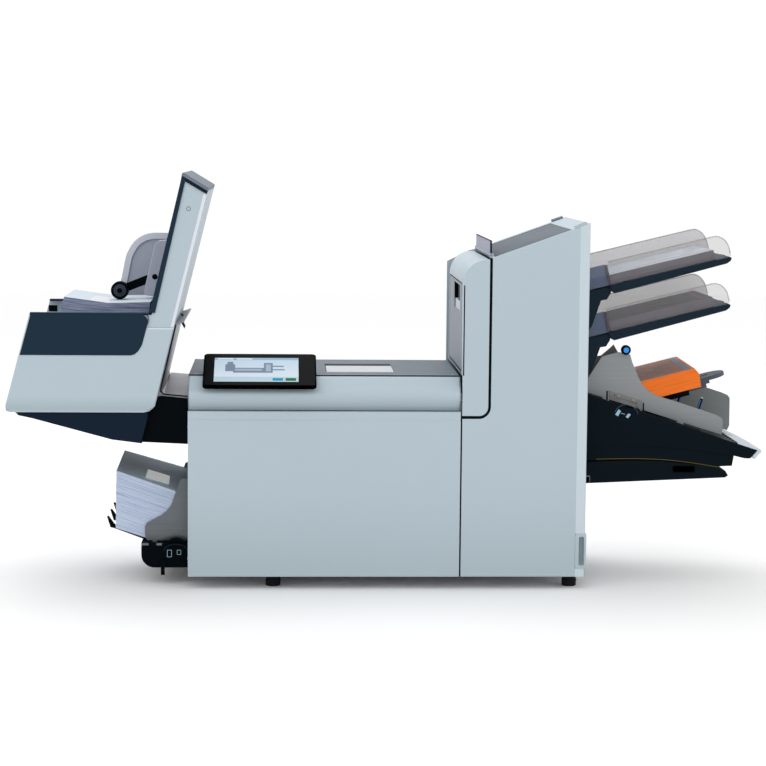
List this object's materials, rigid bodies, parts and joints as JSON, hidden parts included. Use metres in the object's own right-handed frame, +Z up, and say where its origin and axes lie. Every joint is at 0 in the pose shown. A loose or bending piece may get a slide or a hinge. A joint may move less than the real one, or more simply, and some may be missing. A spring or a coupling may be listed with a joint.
{
  "type": "folder inserter",
  "caption": "Tabletop folder inserter with a lift-up cover and touchscreen, an output stacker over an envelope hopper, a collating tower, document trays and an insert feeder.",
  "frame": {"origin": "centre of the overall box, on the table under the feet", "axes": "+X from the output stacker towards the document trays, +Y from the front panel to the rear cover, +Z up"},
  "size_m": [1.542, 0.4368, 0.841],
  "materials": {
    "shell": "fine textured, light blue-grey",
    "slate": "satin slate",
    "dark": "satin dark blue-grey",
    "black": "satin black",
    "deck_grey": "fine textured grey",
    "pale": "satin pale grey",
    "gloss_black": "glossy",
    "display": "glossy lit display",
    "navy": "satin navy",
    "blue": "satin blue",
    "smoke": "clear smoked",
    "paper": "paper, fine sheet edges",
    "orange_paper": "paper, fine sheet edges",
    "envelope": "paper, fine envelope edges",
    "steel": "satin sheet steel",
    "dark_steel": "satin dark steel",
    "aluminium": "turned",
    "motor": "matte black",
    "belt": "matte",
    "rubber": "matte"
  },
  "bodies": {
    "machine": {"base_plate": "steel", "feet": "rubber", "side_frame_front": "steel", "side_frame_rear": "steel", "front_panel": "shell", "tower_panel": "shell", "left_cover": "shell", "rear_cover": "shell", "right_cover": "shell", "column_cover": "shell", "hand_feed_plate": "slate", "tray_upper": "dark", "tray_lower": "dark", "sheets_upper": "paper", "sheets_lower": "paper", "feeder_housing": "dark", "feeder_end_tray": "pale", "insert_stack": "orange_paper", "hopper_base": "black", "envelope_stack": "envelope", "stacker_mount": "black", "exit_chute": "steel", "stacker_shell": "shell", "stacker_bed": "slate", "stacker_band": "slate", "backing_plate": "dark", "rear_guard": "shell", "output_stack": "envelope", "main_motor": "motor", "drive_belt": "belt", "power_supply": "steel", "fold_plate": "steel"},
    "cover": {"top_cover": "shell", "deck_plate": "deck_grey"},
    "screen": {"touchscreen": "gloss_black", "screen_glass": "display"},
    "door": {"access_door": "slate"},
    "stop": {"paper_stop": "slate"},
    "arm": {"hold_arm": "black"},
    "wheel": {"hold_wheel": "navy"},
    "doc_upper_front": {"upper_guide_front": "smoke"},
    "doc_upper_rear": {"upper_guide_rear": "smoke"},
    "doc_lower_front": {"lower_guide_front": "smoke"},
    "doc_lower_rear": {"lower_guide_rear": "smoke"},
    "insert_front": {"insert_guide_front": "steel"},
    "insert_rear": {"insert_guide_rear": "steel"},
    "insert_wheel": {"insert_thumbwheel": "black"},
    "knob": {"clamp_knob": "blue"},
    "support": {"stack_support": "deck_grey"},
    "flap": {"lower_flap": "dark"},
    "hopper_front": {"hopper_guide_front": "dark_steel"},
    "hopper_rear": {"hopper_guide_rear": "dark_steel"},
    "hopper_wheel": {"hopper_thumbwheel": "black"},
    "lever": {"hopper_lever": "black"},
    "rocker": {"power_rocker": "black"},
    "roller_a": {"fold_roller_a": "rubber"},
    "roller_b": {"fold_roller_b": "rubber"},
    "pulley": {"motor_pulley": "aluminium"},
    "feed_upper": {"feed_roller_upper": "rubber"},
    "feed_lower": {"feed_roller_lower": "rubber"}
  },
  "joints": [
    {"name": "cover_lift", "type": "hinge", "parent": "machine", "child": "cover", "pos_m": [-0.131, 0.18288, 0.428], "axis": [1, 0, 0], "range_deg": [-32, 0]},
    {"name": "screen_tilt", "type": "hinge", "parent": "cover", "child": "screen", "pos_m": [-0.263, -0.11112, 0.4445], "axis": [1, 0, 0], "range_deg": [-15, 1]},
    {"name": "door_open", "type": "hinge", "parent": "machine", "child": "door", "pos_m": [0.151, 0.01388, 0.442], "axis": [0, -1, 0], "range_deg": [0, 85]},
    {"name": "stop_fold", "type": "hinge", "parent": "machine", "child": "stop", "pos_m": [0.2024, 0.00988, 0.678], "axis": [0, 1, 0], "range_deg": [0, 60]},
    {"name": "arm_lift", "type": "hinge", "parent": "machine", "child": "arm", "pos_m": [-0.483, 0.01188, 0.6215], "axis": [0, 1, 0], "range_deg": [0, 40]},
    {"name": "wheel_spin", "type": "hinge", "parent": "arm", "child": "wheel", "pos_m": [-0.555, -0.00512, 0.5932], "axis": [0, 1, 0], "continuous": true},
    {"name": "doc_upper_front_slide", "type": "slide", "parent": "machine", "child": "doc_upper_front", "axis": [0, 1, 0], "range_m": [0, 0.009]},
    {"name": "doc_upper_rear_slide", "type": "slide", "parent": "machine", "child": "doc_upper_rear", "axis": [0, 1, 0], "range_m": [-0.009, 0]},
    {"name": "doc_lower_front_slide", "type": "slide", "parent": "machine", "child": "doc_lower_front", "axis": [0, 1, 0], "range_m": [0, 0.009]},
    {"name": "doc_lower_rear_slide", "type": "slide", "parent": "machine", "child": "doc_lower_rear", "axis": [0, 1, 0], "range_m": [-0.009, 0]},
    {"name": "insert_front_slide", "type": "slide", "parent": "machine", "child": "insert_front", "axis": [0, 1, 0], "range_m": [-0.022, 0]},
    {"name": "insert_rear_slide", "type": "slide", "parent": "machine", "child": "insert_rear", "axis": [0, 1, 0], "range_m": [0, 0.022]},
    {"name": "insert_wheel_turn", "type": "hinge", "parent": "machine", "child": "insert_wheel", "pos_m": [0.487, -0.11512, 0.34769], "axis": [0, 1, 0], "range_deg": [0, 158]},
    {"name": "knob_turn", "type": "hinge", "parent": "insert_front", "child": "knob", "pos_m": [0.489, -0.09712, 0.4822], "axis": [0, 1, 0], "range_deg": [-90, 90]},
    {"name": "support_slide", "type": "slide", "parent": "machine", "child": "support", "axis": [0.9681, 0, 0.2504], "range_m": [0, 0.04]},
    {"name": "flap_lower", "type": "hinge", "parent": "machine", "child": "flap", "pos_m": [0.407, 0.00988, 0.2182], "axis": [0, 1, 0], "range_deg": [0, 20]},
    {"name": "hopper_front_slide", "type": "slide", "parent": "machine", "child": "hopper_front", "axis": [0, 1, 0], "range_m": [-0.012, 0]},
    {"name": "hopper_rear_slide", "type": "slide", "parent": "machine", "child": "hopper_rear", "axis": [0, 1, 0], "range_m": [0, 0.012]},
    {"name": "hopper_wheel_turn", "type": "hinge", "parent": "machine", "child": "hopper_wheel", "pos_m": [-0.434, -0.13012, 0.073], "axis": [0, 1, 0], "range_deg": [0, 86]},
    {"name": "lever_turn", "type": "hinge", "parent": "machine", "child": "lever", "pos_m": [-0.46, -0.14012, 0.046], "axis": [0, 1, 0], "range_deg": [-50, 50]},
    {"name": "rocker_press", "type": "hinge", "parent": "machine", "child": "rocker", "pos_m": [-0.271, 0.21088, 0.07], "axis": [1, 0, 0], "range_deg": [-10, 0]},
    {"name": "roller_b_spin", "type": "hinge", "parent": "machine", "child": "roller_b", "pos_m": [-0.0402, 0.00988, 0.23], "axis": [0, 1, 0], "continuous": true},
    {"name": "roller_a_spin", "type": "hinge", "parent": "machine", "child": "roller_a", "pos_m": [-0.077, 0.00988, 0.23], "axis": [0, 1, 0], "continuous": true},
    {"name": "pulley_spin", "type": "hinge", "parent": "machine", "child": "pulley", "pos_m": [0.033, 0.18488, 0.15], "axis": [0, 1, 0], "continuous": true},
    {"name": "feed_upper_spin", "type": "hinge", "parent": "machine", "child": "feed_upper", "pos_m": [0.367, 0.00988, 0.5755], "axis": [0, 1, 0], "continuous": true},
    {"name": "feed_lower_spin", "type": "hinge", "parent": "machine", "child": "feed_lower", "pos_m": [0.367, 0.00988, 0.4788], "axis": [0, 1, 0], "continuous": true}
  ],
  "couplings": [
    {"joint": "doc_upper_rear_slide", "follows": "doc_upper_front_slide", "ratio": -1},
    {"joint": "doc_lower_rear_slide", "follows": "doc_lower_front_slide", "ratio": -1},
    {"joint": "insert_rear_slide", "follows": "insert_front_slide", "ratio": -1},
    {"joint": "insert_wheel_turn", "follows": "insert_front_slide", "rad_per_m": -125},
    {"joint": "hopper_rear_slide", "follows": "hopper_front_slide", "ratio": -1},
    {"joint": "hopper_wheel_turn", "follows": "hopper_front_slide", "rad_per_m": -125},
    {"joint": "roller_a_spin", "follows": "roller_b_spin", "ratio": -1},
    {"joint": "pulley_spin", "follows": "roller_b_spin", "ratio": 1}
  ]
}
